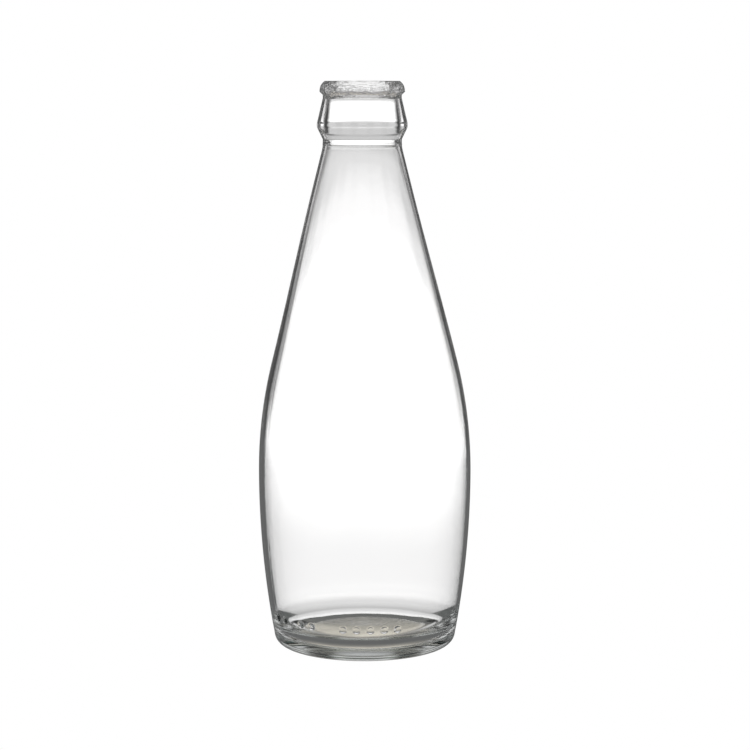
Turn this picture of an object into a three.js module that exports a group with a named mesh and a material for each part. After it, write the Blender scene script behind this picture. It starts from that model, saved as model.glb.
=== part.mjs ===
// A clear glass soft-drink bottle with a crown-cap mouth, empty and uncapped.
//
// A blown bottle is one piece of glass with the same wall all the way round, so it is one
// solid of revolution: a single outline, drawn in (radius, height), is turned about +Z.
// Millimetres, +Z up. The origin is the middle of the ring that the bottle stands on.

import * as THREE from "three";

// Driving dimensions of the body, in millimetres.
const HEIGHT = 178.5; // from the standing ring to the sealing lip
const BODY_RADIUS = 33.65; // at the belly, where the bottle is widest
const WALL = 1.1; // glass thickness of the body
const CONE_ANGLE = THREE.MathUtils.degToRad(14.1); // slope of the shoulder, from upright
const SHOULDER_ARC = 145; // radius of the curve from the belly up to the shoulder
const LOWER_ARC = 290; // radius of the curve from the belly down to the heel
const HEEL_RADIUS = 3.4;

// The base: a narrow standing ring round a shallow push-up, and the floor inside.
const STANDING_RING_INNER = 22.4;
const PUSH_UP = 2.2;
const FLOOR_HEIGHT = 3.4; // of the ring round the floor
const FLOOR_RISE = 2;
const INNER_HEEL_RADIUS = 10.5;

// The mouth: a crown-cap finish, 26.6 mm over its locking bead and 18 mm tall, on a short band.
const FINISH_HEIGHT = 18;
const BEAD_RADIUS = 13.3;
const BEAD_CROWN = 3.6; // radius of the bead's rounded top
const BEAD_CENTRE_DEPTH = 3;
const BEAD_UNDERSIDE_DEPTH = 4.3;
const GROOVE_RADIUS = 12.25;
const GROOVE_DEPTH = 5.3;
const COLLAR_RADIUS = 14.3;
const COLLAR_DEPTH = 14;
const NECK_RADIUS = 12.3;
const NECK_BAND = 1.3;
const NECK_FILLET = 9;

// The bore: wide, and following the outside through the neck and the collar up to the lip.
// Each depth is measured down from the lip.
const LIP_BORE_RADIUS = 10.1;
const LIP_ROUNDING = 0.5;
const BEAD_BORE_RADIUS = 10.6;
const BEAD_BORE_DEPTH = 4.4;
const GROOVE_BORE_RADIUS = 11.2;
const GROOVE_BORE_DEPTH = 5.6;
const COLLAR_BORE_RADIUS = 12.4;
const COLLAR_BORE_DEPTH = 13.2;
const COLLAR_FOOT_BORE_RADIUS = 12.1;
const COLLAR_FOOT_BORE_DEPTH = 15.9;
const NECK_BORE_RADIUS = 11.2;
const NECK_BORE_DEPTH = 18.8;
const NECK_BORE_ROUNDING = 9;

const SIDES = 48; // flats round the bottle
const CURVE_STEPS = 6; // chords in each long curve
const ROUNDING_STEP = THREE.MathUtils.degToRad(16); // turn of each chord in a small rounding

// The belly's height follows from the shoulder: down the cone from the neck, then round the arc.
const neckFootZ = HEIGHT - FINISH_HEIGHT - NECK_BAND;
const coneTopRadius = NECK_RADIUS + NECK_FILLET * (1 - Math.cos(CONE_ANGLE));
const coneTopZ = neckFootZ - NECK_FILLET * Math.sin(CONE_ANGLE);
const coneFootRadius = BODY_RADIUS - SHOULDER_ARC * (1 - Math.cos(CONE_ANGLE));
const coneFootZ = coneTopZ - (coneFootRadius - coneTopRadius) / Math.tan(CONE_ANGLE);
const BELLY_Z = coneFootZ - SHOULDER_ARC * Math.sin(CONE_ANGLE);

function point(radius, z) {
  return new THREE.Vector2(radius, z);
}

// Points of an arc, both ends included; angles are from the +radius direction towards +Z.
function arc(centre, radius, from, to, steps) {
  return Array.from({ length: steps + 1 }, (_, i) => {
    const angle = from + ((to - from) * i) / steps;
    return point(centre.x + radius * Math.cos(angle), centre.y + radius * Math.sin(angle));
  });
}

// A line through the given corners, each with its own rounding; the two ends stay as they are.
function roundedLine(corners) {
  return corners.flatMap(({ at, rounding }, i) => {
    if (!rounding) return [at];
    const back = corners[i - 1].at.clone().sub(at).normalize();
    const ahead = corners[i + 1].at.clone().sub(at).normalize();
    const half = Math.acos(THREE.MathUtils.clamp(back.dot(ahead), -1, 1)) / 2;
    const middle = back.clone().add(ahead).normalize();
    const centre = at.clone().addScaledVector(middle, rounding / Math.sin(half));
    const first = at.clone().addScaledVector(back, rounding / Math.tan(half)).sub(centre);
    const turn = (Math.PI - 2 * half) * Math.sign(ahead.cross(back));
    const steps = Math.max(2, Math.ceil(Math.abs(turn) / ROUNDING_STEP));
    return arc(centre, rounding, first.angle(), first.angle() + turn, steps);
  });
}

// A shallow dome from the axis out to a ring: `rise` higher in the middle than at the ring.
function dome(ringRadius, ringZ, rise) {
  const radius = (ringRadius ** 2 + rise ** 2) / (2 * rise);
  const slope = Math.asin(ringRadius / radius);
  const centre = point(0, ringZ + rise - radius);
  const points = arc(centre, radius, Math.PI / 2, Math.PI / 2 - slope, 3);
  points[0].x = 0;
  return points;
}

// The body's wall from its heel to the foot of the cone, set `inset` inside the outer surface.
// The heel is tangent both to the flat at footZ and to the long curve that runs up to the belly.
function bodyWall(inset, footZ, heelRadius) {
  const lowerCentre = point(BODY_RADIUS - LOWER_ARC, BELLY_Z);
  const lowerRadius = LOWER_ARC - inset;
  const heelZ = footZ + heelRadius;
  const reach = lowerRadius - heelRadius;
  const heelX = lowerCentre.x + Math.sqrt(reach ** 2 - (BELLY_Z - heelZ) ** 2);
  const meeting = Math.atan2(heelZ - BELLY_Z, heelX - lowerCentre.x);
  const shoulderCentre = point(BODY_RADIUS - SHOULDER_ARC, BELLY_Z);
  return [
    ...arc(point(heelX, heelZ), heelRadius, -Math.PI / 2, meeting, 5),
    ...arc(lowerCentre, lowerRadius, meeting, 0, CURVE_STEPS).slice(1),
    ...arc(shoulderCentre, SHOULDER_ARC - inset, 0, CONE_ANGLE, CURVE_STEPS).slice(1),
  ];
}

// The height of a point that lies `depth` below the lip.
function down(depth) {
  return HEIGHT - depth;
}

// The outside of the mouth, from the neck band up to the flat lip.
function finish() {
  const crownCentre = point(BEAD_RADIUS - BEAD_CROWN, down(BEAD_CENTRE_DEPTH));
  const crownEnd = Math.asin(BEAD_CENTRE_DEPTH / BEAD_CROWN);
  return [
    ...roundedLine([
      { at: point(NECK_RADIUS, neckFootZ) },
      { at: point(NECK_RADIUS, down(FINISH_HEIGHT)), rounding: 1.2 },
      { at: point(COLLAR_RADIUS, down(COLLAR_DEPTH)), rounding: 3.3 },
      { at: point(GROOVE_RADIUS, down(GROOVE_DEPTH)), rounding: 1.5 },
      { at: point(GROOVE_RADIUS, down(BEAD_UNDERSIDE_DEPTH)), rounding: 0.3 },
      { at: point(BEAD_RADIUS, down(BEAD_CENTRE_DEPTH + 0.3)) },
    ]),
    ...arc(crownCentre, BEAD_CROWN, 0, crownEnd, 4),
  ];
}

function outside() {
  const neckCentre = point(NECK_RADIUS + NECK_FILLET, neckFootZ);
  return [
    ...dome(STANDING_RING_INNER, 0, PUSH_UP),
    ...bodyWall(0, 0, HEEL_RADIUS),
    ...arc(neckCentre, NECK_FILLET, Math.PI + CONE_ANGLE, Math.PI, 3),
    ...finish().slice(1),
  ];
}

function inside() {
  const body = bodyWall(WALL, FLOOR_HEIGHT, INNER_HEEL_RADIUS);
  const coneFoot = body.at(-1);
  const neckFoot = coneFoot.y + (coneFoot.x - NECK_BORE_RADIUS) / Math.tan(CONE_ANGLE);
  return [
    ...dome(body[0].x, FLOOR_HEIGHT, FLOOR_RISE),
    ...body.slice(1),
    ...roundedLine([
      { at: coneFoot },
      { at: point(NECK_BORE_RADIUS, neckFoot), rounding: NECK_BORE_ROUNDING },
      { at: point(NECK_BORE_RADIUS, down(NECK_BORE_DEPTH)), rounding: 4 },
      { at: point(COLLAR_FOOT_BORE_RADIUS, down(COLLAR_FOOT_BORE_DEPTH)), rounding: 0.8 },
      { at: point(COLLAR_BORE_RADIUS, down(COLLAR_BORE_DEPTH)), rounding: 4 },
      { at: point(GROOVE_BORE_RADIUS, down(GROOVE_BORE_DEPTH)), rounding: 0.8 },
      { at: point(BEAD_BORE_RADIUS, down(BEAD_BORE_DEPTH)), rounding: 0.6 },
      { at: point(LIP_BORE_RADIUS, HEIGHT), rounding: LIP_ROUNDING },
      { at: point(BEAD_RADIUS, HEIGHT) },
    ]).slice(1, -1),
  ];
}

// Turns a closed outline about +Z; three.js turns it about +Y, so it is stood up afterwards.
function turned(outline) {
  return new THREE.LatheGeometry(outline, SIDES).rotateX(Math.PI / 2);
}

const clearGlass = new THREE.MeshStandardMaterial({
  color: 0xe9f0ee,
  roughness: 0.03,
  metalness: 0,
  transparent: true,
  opacity: 0.35,
});

const bottle = new THREE.Mesh(turned([...outside(), ...inside().reverse()]), clearGlass);
bottle.name = "glass_bottle";

const group = new THREE.Group();
group.add(bottle);

export default group;
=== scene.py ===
"""A clear glass soft-drink bottle, empty and uncapped, standing on a pale floor in soft studio light.

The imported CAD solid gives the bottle's height and width. This script makes the fine glass that is
seen: the same outline turned in small steps, with what moulding and use leave on it. Those are an
uneven wall, a neck that leans a little, two parting rings, two mould seams, the dots on the heel,
a scuffed standing ring and a dulled bead.
"""

from math import acos, atan2, asin, ceil, copysign, cos, degrees, hypot, pi, radians, sin, sqrt, tan

import bpy
from mathutils import Matrix, Vector, noise


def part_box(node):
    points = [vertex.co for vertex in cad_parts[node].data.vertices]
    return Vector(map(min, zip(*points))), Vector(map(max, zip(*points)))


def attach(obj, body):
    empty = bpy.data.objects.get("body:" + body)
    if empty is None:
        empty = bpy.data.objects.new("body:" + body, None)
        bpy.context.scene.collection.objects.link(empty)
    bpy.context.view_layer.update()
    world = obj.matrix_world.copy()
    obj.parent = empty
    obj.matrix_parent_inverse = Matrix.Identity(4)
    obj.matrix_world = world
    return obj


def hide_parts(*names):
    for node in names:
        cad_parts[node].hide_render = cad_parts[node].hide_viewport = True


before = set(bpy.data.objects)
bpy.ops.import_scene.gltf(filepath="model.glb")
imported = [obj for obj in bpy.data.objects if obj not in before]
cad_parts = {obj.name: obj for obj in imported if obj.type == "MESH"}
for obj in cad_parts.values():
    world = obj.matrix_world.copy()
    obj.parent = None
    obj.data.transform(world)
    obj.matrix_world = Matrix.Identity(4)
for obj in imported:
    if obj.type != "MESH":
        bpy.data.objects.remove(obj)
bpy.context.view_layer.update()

MM = 0.001

# ---------------------------------------------------------------- dimensions, in millimetres

TOP_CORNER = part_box("glass_bottle")[1]
HEIGHT = TOP_CORNER.z / MM
BODY_RADIUS = TOP_CORNER.x / MM
WALL = 1.1
CONE_ANGLE = radians(14.1)
SHOULDER_ARC = 145
LOWER_ARC = 290
HEEL_RADIUS = 3.4

STANDING_RING_INNER = 22.4
PUSH_UP = 2.2
FLOOR_HEIGHT = 3.4
FLOOR_RISE = 2
INNER_HEEL_RADIUS = 10.5

# The mouth's outside. Each corner is a radius, a depth below the lip and a rounding.
FINISH_HEIGHT = 18
NECK_RADIUS = 12.3
NECK_BAND = 1.3
NECK_FILLET = 9
NECK_TOP = (NECK_RADIUS, FINISH_HEIGHT, 1.2)
COLLAR = (14.3, 14, 3.3)
GROOVE_FOOT = (12.25, 5.3, 1.5)
GROOVE_TOP = (12.25, 4.3, 0.3)
BEAD_RADIUS = 13.3
BEAD_CROWN = 3.6
BEAD_CENTRE_DEPTH = 3
BEAD_SIDE = 0.3

# The bore, in the same way, from the neck up to the lip.
NECK_BORE_RADIUS = 11.2
NECK_BORE_ROUNDING = 9
NECK_BORE = (NECK_BORE_RADIUS, 18.8, 4)
COLLAR_FOOT_BORE = (12.1, 15.9, 0.8)
COLLAR_BORE = (12.4, 13.2, 4)
GROOVE_BORE = (11.2, 5.6, 0.8)
BEAD_BORE = (10.6, 4.4, 0.6)
LIP_BORE = (10.1, 0, 0.5)

# The heel's row of plain round dots, in groups: the first dot's angle from the front (-Y) towards
# +X, in degrees, and how many dots follow at DOT_PITCH.
DOT_GROUPS = ((-12.6, 5), (-63.5, 2), (-40.9, 2))
DOT_PITCH = 8.1
DOT_HEIGHT = 10.8
DOT_RADIUS = 1.15
DOT_RISE = 0.6

# Two fine rings under the collar, where the moulds of the neck meet: depth below the lip, rise.
PARTING_RINGS = ((17.8, 0.1), (19.6, 0.14))
PARTING_HALF_WIDTH = 0.32

# A mould seam down each side, from just over the heel to just under the lip.
SEAM_ANGLES = (90, 270)
SEAM_HALF_WIDTH = 0.35
SEAM_RISE = 0.06
SEAM_FOOT = 5
SEAM_TOP_DEPTH = 3

# The neck leans a little to -X, from the shoulder up, as a blown bottle's does.
NECK_LEAN = 0.7
LEAN_STARTS, LEAN_ENDS = 90, 145

# The wall is uneven from the inner heel up to the neck: thicker towards -X, less so higher up,
# thinner in the shoulder than in the belly, and with soft waves and ripples.
UNEVEN_STARTS, UNEVEN_FULL = 6, 14
UNEVEN_FADES_DEPTH, UNEVEN_ENDS_DEPTH = 24, 18
LOPSIDED = 0.22
THIN_SIDE = Vector((0.2, 1, 0))  # towards -Y and towards +X
LOPSIDED_FADE = 0.7
LOPSIDED_FADES, LOPSIDED_FADED = 30, 110
SHOULDER_THINNING = 0.12
THINNING_STARTS, THINNING_ENDS = 40, 130
WAVE_SIZE, WAVES_ROUND, WAVE_LENGTH = 0.04, 3.1, 45
RIPPLE_SIZE, RIPPLES_ROUND, RIPPLE_LENGTH = 0.015, 9.0, 60
RIPPLE_SHIFT = Vector((5, 7, 0))

# How finely the glass is cut up: the longest chord along the outline, the turn of each chord in a
# small rounding, and the columns round the bottle, with more of them at the dots and the seams.
LONG_STEP = 2.2
TURN_STEP = radians(9)
COLUMNS = 180
DOT_ROWS_REACH, DOT_ROW_STEP = 2.4, 0.15
RING_ROWS_TOP_DEPTH, RING_ROWS_FOOT_DEPTH, RING_ROW_STEP = 17, 21, 0.1
DOT_COLUMNS, SEAM_COLUMNS = 5, 3  # on each side of the middle
SEAM_COLUMN_STEP = 0.4
CLOSEST_COLUMNS = 0.12
RADIUS_AT_DOTS = 30  # roughly, to space the columns across a dot

NECK_FOOT_Z = HEIGHT - FINISH_HEIGHT - NECK_BAND
CONE_TOP_RADIUS = NECK_RADIUS + NECK_FILLET * (1 - cos(CONE_ANGLE))
CONE_TOP_Z = NECK_FOOT_Z - NECK_FILLET * sin(CONE_ANGLE)
CONE_FOOT_RADIUS = BODY_RADIUS - SHOULDER_ARC * (1 - cos(CONE_ANGLE))
CONE_FOOT_Z = CONE_TOP_Z - (CONE_FOOT_RADIUS - CONE_TOP_RADIUS) / tan(CONE_ANGLE)
BELLY_Z = CONE_FOOT_Z - SHOULDER_ARC * sin(CONE_ANGLE)


# ---------------------------------------------------------------- the outline

def arc(centre, radius, start, end):
    """Points of an arc, both ends included, fine enough in both turn and length."""
    steps = max(2, ceil(abs(end - start) / TURN_STEP), ceil(radius * abs(end - start) / LONG_STEP))
    angles = [start + (end - start) * i / steps for i in range(steps + 1)]
    return [Vector((centre[0] + radius * cos(a), centre[1] + radius * sin(a))) for a in angles]


def rounded_line(corners):
    """A line through (radius, z, rounding) corners; a rounding of 0 keeps the corner."""
    points = [Vector(corner[:2]) for corner in corners]
    line = [points[0]]
    for i in range(1, len(corners) - 1):
        rounding = corners[i][2]
        back = (points[i - 1] - points[i]).normalized()
        ahead = (points[i + 1] - points[i]).normalized()
        half = acos(max(-1, min(1, back.dot(ahead)))) / 2
        centre = points[i] + (back + ahead).normalized() * rounding / sin(half)
        first = points[i] + back * rounding / tan(half) - centre
        turn = copysign(pi - 2 * half, ahead.x * back.y - ahead.y * back.x)
        start = atan2(first.y, first.x)
        line += arc(centre, rounding, start, start + turn)
    return line + [points[-1]]


def below_lip(radius, depth, rounding=0):
    """A corner for rounded_line, placed by its depth below the lip."""
    return radius, HEIGHT - depth, rounding


def dome(ring_radius, ring_z, rise):
    """A shallow dome from the axis out to a ring, higher in the middle by its rise."""
    radius = (ring_radius ** 2 + rise ** 2) / (2 * rise)
    slope = asin(ring_radius / radius)
    points = arc((0, ring_z + rise - radius), radius, pi / 2, pi / 2 - slope)
    points[0].x = 0
    return points


def body_wall(inset, foot_z, heel_radius):
    """The body's wall from its heel to the foot of the cone, set inside the outer surface."""
    lower_x = BODY_RADIUS - LOWER_ARC
    lower_radius = LOWER_ARC - inset
    heel_z = foot_z + heel_radius
    heel_x = lower_x + sqrt((lower_radius - heel_radius) ** 2 - (BELLY_Z - heel_z) ** 2)
    meeting = atan2(heel_z - BELLY_Z, heel_x - lower_x)
    shoulder_centre = (BODY_RADIUS - SHOULDER_ARC, BELLY_Z)
    return (
        arc((heel_x, heel_z), heel_radius, -pi / 2, meeting)
        + arc((lower_x, BELLY_Z), lower_radius, meeting, 0)[1:]
        + arc(shoulder_centre, SHOULDER_ARC - inset, 0, CONE_ANGLE)[1:]
    )


def finish():
    """The outside of the mouth, from the neck band up to the flat lip."""
    crown_centre = (BEAD_RADIUS - BEAD_CROWN, HEIGHT - BEAD_CENTRE_DEPTH)
    crown_end = asin(BEAD_CENTRE_DEPTH / BEAD_CROWN)
    return rounded_line([
        (NECK_RADIUS, NECK_FOOT_Z, 0),
        below_lip(*NECK_TOP),
        below_lip(*COLLAR),
        below_lip(*GROOVE_FOOT),
        below_lip(*GROOVE_TOP),
        below_lip(BEAD_RADIUS, BEAD_CENTRE_DEPTH + BEAD_SIDE),
    ]) + arc(crown_centre, BEAD_CROWN, 0, crown_end)


def outside():
    """From the middle of the push-up, under the standing ring and up to the lip."""
    neck_centre = (NECK_RADIUS + NECK_FILLET, NECK_FOOT_Z)
    return (
        dome(STANDING_RING_INNER, 0, PUSH_UP)
        + body_wall(0, 0, HEEL_RADIUS)
        + arc(neck_centre, NECK_FILLET, pi + CONE_ANGLE, pi)
        + finish()[1:]
    )


def inside():
    """From the middle of the floor up the bore to the lip, whose flat only sets its rounding."""
    body = body_wall(WALL, FLOOR_HEIGHT, INNER_HEEL_RADIUS)
    cone_foot = body[-1]
    neck_foot = cone_foot.y + (cone_foot.x - NECK_BORE_RADIUS) / tan(CONE_ANGLE)
    return dome(body[0].x, FLOOR_HEIGHT, FLOOR_RISE) + body[1:] + rounded_line([
        (cone_foot.x, cone_foot.y, 0),
        (NECK_BORE_RADIUS, neck_foot, NECK_BORE_ROUNDING),
        below_lip(*NECK_BORE),
        below_lip(*COLLAR_FOOT_BORE),
        below_lip(*COLLAR_BORE),
        below_lip(*GROOVE_BORE),
        below_lip(*BEAD_BORE),
        below_lip(*LIP_BORE),
        (BEAD_RADIUS, HEIGHT, 0),
    ])[1:-1]


def subdivided(line, step_at):
    """The same line with its long chords split; step_at gives the longest chord at a height."""
    fine = [line[0]]
    for start, end in zip(line, line[1:]):
        pieces = max(1, ceil((end - start).length / step_at((start.y + end.y) / 2)))
        fine += [start.lerp(end, i / pieces) for i in range(1, pieces + 1)]
    return fine


def outer_step(z):
    if abs(z - DOT_HEIGHT) < DOT_ROWS_REACH:
        return DOT_ROW_STEP
    if RING_ROWS_TOP_DEPTH < HEIGHT - z < RING_ROWS_FOOT_DEPTH:
        return RING_ROW_STEP
    return LONG_STEP


def inner_step(z):
    return LONG_STEP


# ---------------------------------------------------------------- what moulding leaves on the glass

def smooth(low, high, value):
    """0 up to low, 1 from high on, and a smooth step between them."""
    t = max(0, min(1, (value - low) / (high - low)))
    return t * t * (3 - 2 * t)


def turned_from(angle, centre):
    """Signed angle in degrees from centre to angle, the short way round."""
    return (angle - centre + 180) % 360 - 180


def dot_angles():
    return [first + DOT_PITCH * i for first, count in DOT_GROUPS for i in range(count)]


DOTS = dot_angles()


def outer_relief(radius, z, angle):
    """How far the outer surface stands proud: heel dots, parting rings and the two mould seams."""
    rise = 0
    for depth, ring_rise in PARTING_RINGS:
        across = (z - HEIGHT + depth) / PARTING_HALF_WIDTH
        if abs(across) < 1:
            rise = ring_rise * (1 - across ** 2) ** 2
    for centre in DOTS:
        across = radians(turned_from(angle, centre)) * radius
        distance = hypot(across, z - DOT_HEIGHT) / DOT_RADIUS
        if distance < 1:
            rise = DOT_RISE * sqrt(1 - distance ** 2)
    for centre in SEAM_ANGLES:
        across = radians(turned_from(angle, centre)) * radius / SEAM_HALF_WIDTH
        if abs(across) < 1 and SEAM_FOOT < z < HEIGHT - SEAM_TOP_DEPTH:
            rise = max(rise, SEAM_RISE * (1 - across ** 2))
    return rise


def inner_relief(radius, z, angle):
    """How far the inner surface stands in: the uneven wall that blowing leaves."""
    around = Vector((cos(radians(angle)), sin(radians(angle)), 0))
    waves = noise.noise(around * WAVES_ROUND + Vector((0, 0, z / WAVE_LENGTH)))
    ripples = noise.noise(around * RIPPLES_ROUND + RIPPLE_SHIFT + Vector((0, 0, z / RIPPLE_LENGTH)))
    lopsided = -around.dot(THIN_SIDE) * (1 - LOPSIDED_FADE * smooth(LOPSIDED_FADES, LOPSIDED_FADED, z))
    thinning = SHOULDER_THINNING * smooth(THINNING_STARTS, THINNING_ENDS, z)
    faded = smooth(HEIGHT - UNEVEN_FADES_DEPTH, HEIGHT - UNEVEN_ENDS_DEPTH, z)
    amount = smooth(UNEVEN_STARTS, UNEVEN_FULL, z) * (1 - faded)
    return amount * (WAVE_SIZE * waves + RIPPLE_SIZE * ripples + LOPSIDED * lopsided - thinning)


# ---------------------------------------------------------------- the glass

def column_angles():
    """Angles of the columns in degrees from -Y towards +X, denser across each dot and seam.

    They are rounded, so that columns that coincide become one.
    """
    angles = [360 * i / COLUMNS for i in range(COLUMNS)]
    dot_step = degrees(DOT_RADIUS / RADIUS_AT_DOTS) / DOT_COLUMNS
    for centre in DOTS:
        angles += [centre + dot_step * i for i in range(-DOT_COLUMNS - 1, DOT_COLUMNS + 2)]
    for centre in SEAM_ANGLES:
        angles += [centre + SEAM_COLUMN_STEP * i for i in range(-SEAM_COLUMNS, SEAM_COLUMNS + 1)]
    ordered = sorted({round(angle % 360, 4) for angle in angles})
    following = ordered[1:] + [ordered[0] + 360]
    return [angle for angle, after in zip(ordered, following) if after - angle > CLOSEST_COLUMNS]


def ring(point, relief, side, columns):
    """One row of vertices, in metres; side is 1 where relief adds to the radius and -1 inside."""
    lean = NECK_LEAN * smooth(LEAN_STARTS, LEAN_ENDS, point.y)
    vertices = []
    for angle in columns:
        radius = point.x + side * relief(point.x, point.y, angle)
        turn = radians(angle)
        vertices.append(((radius * sin(turn) - lean) * MM, -radius * cos(turn) * MM, point.y * MM))
    return vertices


def glass_mesh():
    """One closed skin: up the outside, over the lip, down the bore, with a fan at either end."""
    outer = subdivided(outside(), outer_step)
    inner = subdivided(inside(), inner_step)
    columns = column_angles()
    rings = [ring(point, outer_relief, 1, columns) for point in outer[1:]]
    rings += [ring(point, inner_relief, -1, columns) for point in reversed(inner[1:])]
    vertices = [vertex for row in rings for vertex in row]
    count = len(columns)
    last = len(vertices) - count
    faces = []
    for below in range(0, last, count):
        above = below + count
        for i in range(count):
            j = (i + 1) % count
            faces.append((below + i, below + j, above + j, above + i))
    push_up = len(vertices)
    floor = push_up + 1
    vertices += [(0, 0, outer[0].y * MM), (0, 0, inner[0].y * MM)]
    faces += [(push_up, (i + 1) % count, i) for i in range(count)]
    faces += [(floor, last + i, last + (i + 1) % count) for i in range(count)]
    mesh = bpy.data.meshes.new("glass")
    mesh.from_pydata(vertices, [], faces)
    mesh.validate()
    mesh.polygons.foreach_set("use_smooth", [True] * len(mesh.polygons))
    return mesh


# ---------------------------------------------------------------- shader nodes

def feed(tree, value, socket):
    """Sets a socket to a number or a colour, or links another node's output to it."""
    if isinstance(value, bpy.types.NodeSocket):
        tree.links.new(value, socket)
    else:
        socket.default_value = value


def math_node(tree, operation, *values):
    node = tree.nodes.new("ShaderNodeMath")
    node.operation = operation
    for value, socket in zip(values, node.inputs):
        feed(tree, value, socket)
    return node.outputs[0]


def ramp(tree, value, low, high, at_low, at_high):
    """A smooth step from one number to another, as value goes from low to high."""
    node = tree.nodes.new("ShaderNodeMapRange")
    node.interpolation_type = "SMOOTHSTEP"
    settings = {"Value": value, "From Min": low, "From Max": high, "To Min": at_low, "To Max": at_high}
    for name, setting in settings.items():
        feed(tree, setting, node.inputs[name])
    return node.outputs["Result"]


def noise_texture(tree, vector, scale, detail=2, distortion=0):
    node = tree.nodes.new("ShaderNodeTexNoise")
    node.inputs["Scale"].default_value = scale
    node.inputs["Detail"].default_value = detail
    node.inputs["Distortion"].default_value = distortion
    tree.links.new(vector, node.inputs["Vector"])
    return node.outputs["Fac"]


def bump_node(tree, height, distance, strength):
    node = tree.nodes.new("ShaderNodeBump")
    node.inputs["Distance"].default_value = distance
    feed(tree, strength, node.inputs["Strength"])
    tree.links.new(height, node.inputs["Height"])
    return node


def background(tree, colour, strength):
    node = tree.nodes.new("ShaderNodeBackground")
    node.inputs["Color"].default_value = colour
    feed(tree, strength, node.inputs["Strength"])
    return node


def covered_by(tree, below, above, cover):
    """One background laid over another one wherever cover is 1."""
    choose = tree.nodes.new("ShaderNodeMixShader")
    tree.links.new(cover, choose.inputs[0])
    tree.links.new(below.outputs[0], choose.inputs[1])
    tree.links.new(above.outputs[0], choose.inputs[2])
    return choose


# ---------------------------------------------------------------- the glass material

GLASS_COLOUR = (0.985, 0.995, 0.99, 1)
GLASS_IOR = 1.52
TINT_COLOUR = (0.72, 0.9, 0.86, 1)
TINT_DENSITY = 4

# Soft cloudy patches, in which the polish and the surface vary a little.
PATCH_SCALE, PATCH_DETAIL = 90, 3
PATCH_ROUGHNESS = 0.03
PATCH_BUMP, PATCH_BUMP_STRENGTH = 0.0004, 0.06

# The ring it stands on is scuffed, in metres above the floor.
SCUFF_ROUGHNESS = 0.1
SCUFF_FULL, SCUFF_ENDS = 0.0008, 0.0032

# The bead is dulled and nicked in flat streaks, where caps have been levered off it.
WEAR_ROUGHNESS = 0.1
WEAR_STARTS, WEAR_FULL = 0.1735, 0.1745
NICK_SCALE, NICK_FLATNESS, NICK_DEPTH = 350, 3, 0.0004


def nick_texture(tree, place):
    flattened = tree.nodes.new("ShaderNodeMapping")
    flattened.inputs["Scale"].default_value = (1, 1, NICK_FLATNESS)
    tree.links.new(place, flattened.inputs["Vector"])
    return noise_texture(tree, flattened.outputs["Vector"], NICK_SCALE)


def glass_material():
    material = bpy.data.materials.new("clear_glass")
    material.use_nodes = True
    tree = material.node_tree
    shader = tree.nodes["Principled BSDF"]
    shader.inputs["Base Color"].default_value = GLASS_COLOUR
    shader.inputs["Transmission Weight"].default_value = 1
    shader.inputs["IOR"].default_value = GLASS_IOR

    place = tree.nodes.new("ShaderNodeTexCoord").outputs["Object"]
    split = tree.nodes.new("ShaderNodeSeparateXYZ")
    tree.links.new(place, split.inputs[0])
    height = split.outputs["Z"]
    patches = noise_texture(tree, place, PATCH_SCALE, PATCH_DETAIL)
    worn = ramp(tree, height, WEAR_STARTS, WEAR_FULL, 0, 1)
    scuffs = ramp(tree, height, SCUFF_FULL, SCUFF_ENDS, SCUFF_ROUGHNESS, 0)

    roughness = math_node(tree, "MULTIPLY_ADD", patches, PATCH_ROUGHNESS, scuffs)
    roughness = math_node(tree, "MULTIPLY_ADD", worn, WEAR_ROUGHNESS, roughness)
    tree.links.new(roughness, shader.inputs["Roughness"])

    waviness = bump_node(tree, patches, PATCH_BUMP, PATCH_BUMP_STRENGTH)
    nicks = bump_node(tree, nick_texture(tree, place), NICK_DEPTH, worn)
    tree.links.new(waviness.outputs["Normal"], nicks.inputs["Normal"])
    tree.links.new(nicks.outputs["Normal"], shader.inputs["Normal"])

    tint = tree.nodes.new("ShaderNodeVolumeAbsorption")
    tint.inputs["Color"].default_value = TINT_COLOUR
    tint.inputs["Density"].default_value = TINT_DENSITY
    tree.links.new(tint.outputs["Volume"], tree.nodes["Material Output"].inputs["Volume"])
    return material


def make_bottle():
    bottle = bpy.data.objects.new("bottle_glass", glass_mesh())
    bpy.context.scene.collection.objects.link(bottle)
    bottle.data.materials.append(glass_material())
    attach(bottle, "root")
    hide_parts("glass_bottle")


# ---------------------------------------------------------------- the camera and the floor

CAMERA_DISTANCE = 0.700
CAMERA_HEIGHT = 0.1778
CAMERA_OFFSET = 0.00327  # the bottle stands a little left of the middle
CAMERA_TILT = radians(7.46)
FIELD_OF_VIEW = radians(19.1)

FLOOR_RADIUS = 0.12
FLOOR_Z = -0.00005
FLOOR_SIDES = 96
FLOOR_COLOUR = (0.78, 0.74, 0.69, 1)
FLOOR_ROUGHNESS = 0.8
FLOOR_SPECULAR = 0.1
FADE_STARTS, FADE_ENDS = 0.016, 0.025

# Painted caustics: the floor under the bottle glows in soft warm patches of emission, a noise pattern
# that stands in for light the bottle would gather onto it.
PAINTED_CAUSTIC_COLOUR = (1, 0.93, 0.82, 1)
PAINTED_CAUSTIC_SCALE, PAINTED_CAUSTIC_DISTORTION = 55, 0.8
PAINTED_CAUSTIC_EDGE_LOW, PAINTED_CAUSTIC_EDGE_HIGH = 0.3, 0.7
PAINTED_CAUSTIC_LOW, PAINTED_CAUSTIC_HIGH = 0.4, 0.68


def make_camera():
    data = bpy.data.cameras.new("camera")
    data.angle = FIELD_OF_VIEW
    camera = bpy.data.objects.new("camera", data)
    bpy.context.scene.collection.objects.link(camera)
    look = Matrix.Rotation(pi / 2 - CAMERA_TILT, 4, "X")
    place = Matrix.Translation((CAMERA_OFFSET, -CAMERA_DISTANCE, CAMERA_HEIGHT))
    camera.matrix_world = place @ look
    bpy.context.scene.camera = camera


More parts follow.
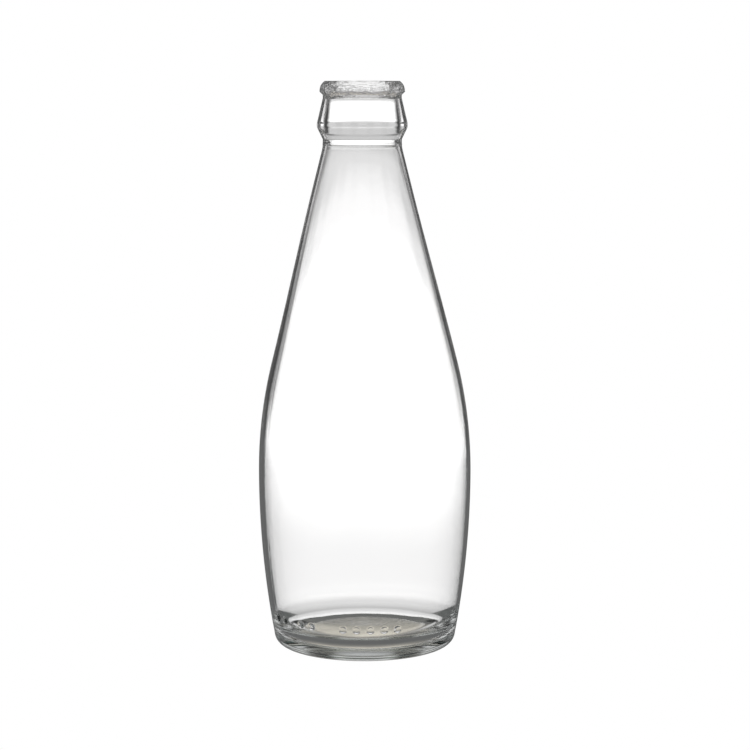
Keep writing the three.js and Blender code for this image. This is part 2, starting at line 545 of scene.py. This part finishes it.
def floor_mesh():
    mesh = bpy.data.meshes.new("floor")
    turns = [2 * pi * i / FLOOR_SIDES for i in range(FLOOR_SIDES)]
    rim = [(FLOOR_RADIUS * cos(a), FLOOR_RADIUS * sin(a), FLOOR_Z) for a in turns]
    mesh.from_pydata(rim, [], [tuple(range(FLOOR_SIDES))])
    return mesh


def floor_material():
    """Pale and dull, with painted caustics glowing in warm patches under the bottle, fading out into
    the white backdrop all round.
    """
    material = bpy.data.materials.new("pale_floor")
    material.use_nodes = True
    tree = material.node_tree
    shader = tree.nodes["Principled BSDF"]
    shader.inputs["Base Color"].default_value = FLOOR_COLOUR
    shader.inputs["Roughness"].default_value = FLOOR_ROUGHNESS
    shader.inputs["Specular IOR Level"].default_value = FLOOR_SPECULAR

    place = tree.nodes.new("ShaderNodeTexCoord").outputs["Object"]
    reach = tree.nodes.new("ShaderNodeVectorMath")
    reach.operation = "LENGTH"
    tree.links.new(place, reach.inputs[0])
    cover = ramp(tree, reach.outputs["Value"], FADE_STARTS, FADE_ENDS, 1, 0)
    tree.links.new(cover, shader.inputs["Alpha"])

    # Painted caustics: warm emission in noise patches, standing in for light gathered by the glass.
    patches = noise_texture(tree, place, PAINTED_CAUSTIC_SCALE, distortion=PAINTED_CAUSTIC_DISTORTION)
    painted_caustic_glow = ramp(tree, patches, PAINTED_CAUSTIC_EDGE_LOW, PAINTED_CAUSTIC_EDGE_HIGH, PAINTED_CAUSTIC_LOW, PAINTED_CAUSTIC_HIGH)
    shader.inputs["Emission Color"].default_value = PAINTED_CAUSTIC_COLOUR
    tree.links.new(painted_caustic_glow, shader.inputs["Emission Strength"])
    return material


def make_floor():
    floor = bpy.data.objects.new("floor", floor_mesh())
    bpy.context.scene.collection.objects.link(floor)
    floor.data.materials.append(floor_material())


# ---------------------------------------------------------------- the studio's light

WHITE = (1, 1, 1, 1)
CAMERA_SEES = 1

# Tall panels stand all round, one to each sector of azimuth, with dark gaps between them. Each is
# even up to PANEL_FULL from its middle and gone by PANEL_END, and wider at its foot and its top.
SECTOR = radians(45)
PANEL_COLOUR = (1, 0.975, 0.985, 1)
PANEL_FULL, PANEL_END = radians(8), radians(15)
PANEL_WIDENING = radians(6)
PANEL_WIDEST, PANEL_WIDENS = radians(-11), radians(-6)
PANEL_TOP_WIDENING = radians(3)
PANEL_TOP_WIDENS, PANEL_TOP_WIDEST = 0, radians(4)

# How bright the panels are at each elevation, in degrees.
PANEL_LEVELS = (
    (-60, 0.06), (-45, 0.32), (-32, 0.72), (-22, 1.1), (-15, 1.12), (-12.2, 1.08), (-9, 1.6),
    (-5, 1.55), (-3.2, 1.15), (-1.6, 0.87), (2, 0.7), (8, 0.65), (14, 0.6), (19, 0.25),
)

# The pale floor lights the foot of each gap.
GAP_LEVEL, GAP_FOOT_LEVEL = 0.04, 0.15
GAP_PALEST, GAP_PALES = radians(-35), radians(-18)

# A softbox hangs overhead, under a dimmer ceiling.
SOFTBOX_COLOUR = (1, 0.93, 0.84, 1)
SOFTBOX_LEVEL, CEILING_LEVEL = 0.6, 0.2
SOFTBOX_FOOT, SOFTBOX_FULL = radians(29), radians(34)
SOFTBOX_DIMS, SOFTBOX_TOP = radians(48), radians(58)

# What the glass mirrors is one even tone, or it would repeat every panel as a streak. Light that
# has passed through one to three surfaces still meets the panels, from MIRROR_ENDS up.
MIRRORED_LEVEL = 0.13
MIRROR_FULL, MIRROR_ENDS = radians(-9), radians(-6)
SURFACES_PASSED, SURFACES_REACH = 2, 1.5  # two, give or take one
SOFTBOX_DIMMING = 0.8

# Light crosses the thin wall many times before it leaves, above all in the heel and the dots.
LIGHT_BOUNCES, MIRROR_BOUNCES = 48, 40


def panel_level(tree, elevation):
    """A chain of smooth steps through PANEL_LEVELS."""
    level = PANEL_LEVELS[0][1]
    for (low, before), (high, after) in zip(PANEL_LEVELS, PANEL_LEVELS[1:]):
        step = ramp(tree, elevation, radians(low), radians(high), 0, after - before)
        level = math_node(tree, "ADD", level, step)
    return level


def panels_and_gaps(tree, azimuth, elevation):
    off_middle = math_node(tree, "PINGPONG", azimuth, SECTOR / 2)
    wider_foot = ramp(tree, elevation, PANEL_WIDEST, PANEL_WIDENS, PANEL_WIDENING, 0)
    wider_top = ramp(tree, elevation, PANEL_TOP_WIDENS, PANEL_TOP_WIDEST, 0, PANEL_TOP_WIDENING)
    off_middle = math_node(tree, "SUBTRACT", off_middle, wider_foot)
    off_middle = math_node(tree, "SUBTRACT", off_middle, wider_top)
    panel = ramp(tree, off_middle, PANEL_FULL, PANEL_END, 1, 0)
    gap = ramp(tree, elevation, GAP_PALEST, GAP_PALES, GAP_FOOT_LEVEL, GAP_LEVEL)
    return math_node(tree, "MULTIPLY_ADD", panel_level(tree, elevation), panel, gap)


def mirrored_light(tree, path, elevation):
    """1 for light that the glass mirrors, less what has passed through its wall."""
    mirrored = math_node(tree, "MINIMUM", path.outputs["Glossy Depth"], 1)
    depth = path.outputs["Transmission Depth"]
    passed = math_node(tree, "COMPARE", depth, SURFACES_PASSED, SURFACES_REACH)
    passed = math_node(tree, "MULTIPLY", passed, ramp(tree, elevation, MIRROR_FULL, MIRROR_ENDS, 0, 1))
    return math_node(tree, "MAXIMUM", math_node(tree, "SUBTRACT", mirrored, passed), 0)


def softbox_cover(tree, elevation, mirrored):
    overhead = ramp(tree, elevation, SOFTBOX_FOOT, SOFTBOX_FULL, 0, 1)
    kept = math_node(tree, "MULTIPLY_ADD", mirrored, -SOFTBOX_DIMMING, 1)
    return math_node(tree, "MULTIPLY", overhead, kept)


def make_world():
    world = bpy.data.worlds.new("studio")
    world.use_nodes = True
    bpy.context.scene.world = world
    tree = world.node_tree
    tree.nodes.clear()

    split = tree.nodes.new("ShaderNodeSeparateXYZ")
    tree.links.new(tree.nodes.new("ShaderNodeTexCoord").outputs["Generated"], split.inputs[0])
    azimuth = math_node(tree, "ARCTAN2", split.outputs["X"], split.outputs["Y"])
    elevation = math_node(tree, "ARCSINE", split.outputs["Z"])
    path = tree.nodes.new("ShaderNodeLightPath")
    mirrored = mirrored_light(tree, path, elevation)

    studio = background(tree, PANEL_COLOUR, panels_and_gaps(tree, azimuth, elevation))
    studio = covered_by(tree, studio, background(tree, WHITE, MIRRORED_LEVEL), mirrored)
    level = ramp(tree, elevation, SOFTBOX_DIMS, SOFTBOX_TOP, SOFTBOX_LEVEL, CEILING_LEVEL)
    softbox = background(tree, SOFTBOX_COLOUR, level)
    studio = covered_by(tree, studio, softbox, softbox_cover(tree, elevation, mirrored))
    backdrop = background(tree, WHITE, CAMERA_SEES)
    seen = covered_by(tree, studio, backdrop, path.outputs["Is Camera Ray"])
    output = tree.nodes.new("ShaderNodeOutputWorld")
    tree.links.new(seen.outputs[0], output.inputs["Surface"])


def set_light_paths():
    cycles = bpy.context.scene.cycles
    cycles.max_bounces = LIGHT_BOUNCES
    cycles.transmission_bounces = LIGHT_BOUNCES
    cycles.glossy_bounces = MIRROR_BOUNCES


make_camera()
make_world()
make_floor()
make_bottle()
set_light_paths()
bpy.context.scene.view_settings.view_transform = "Standard"
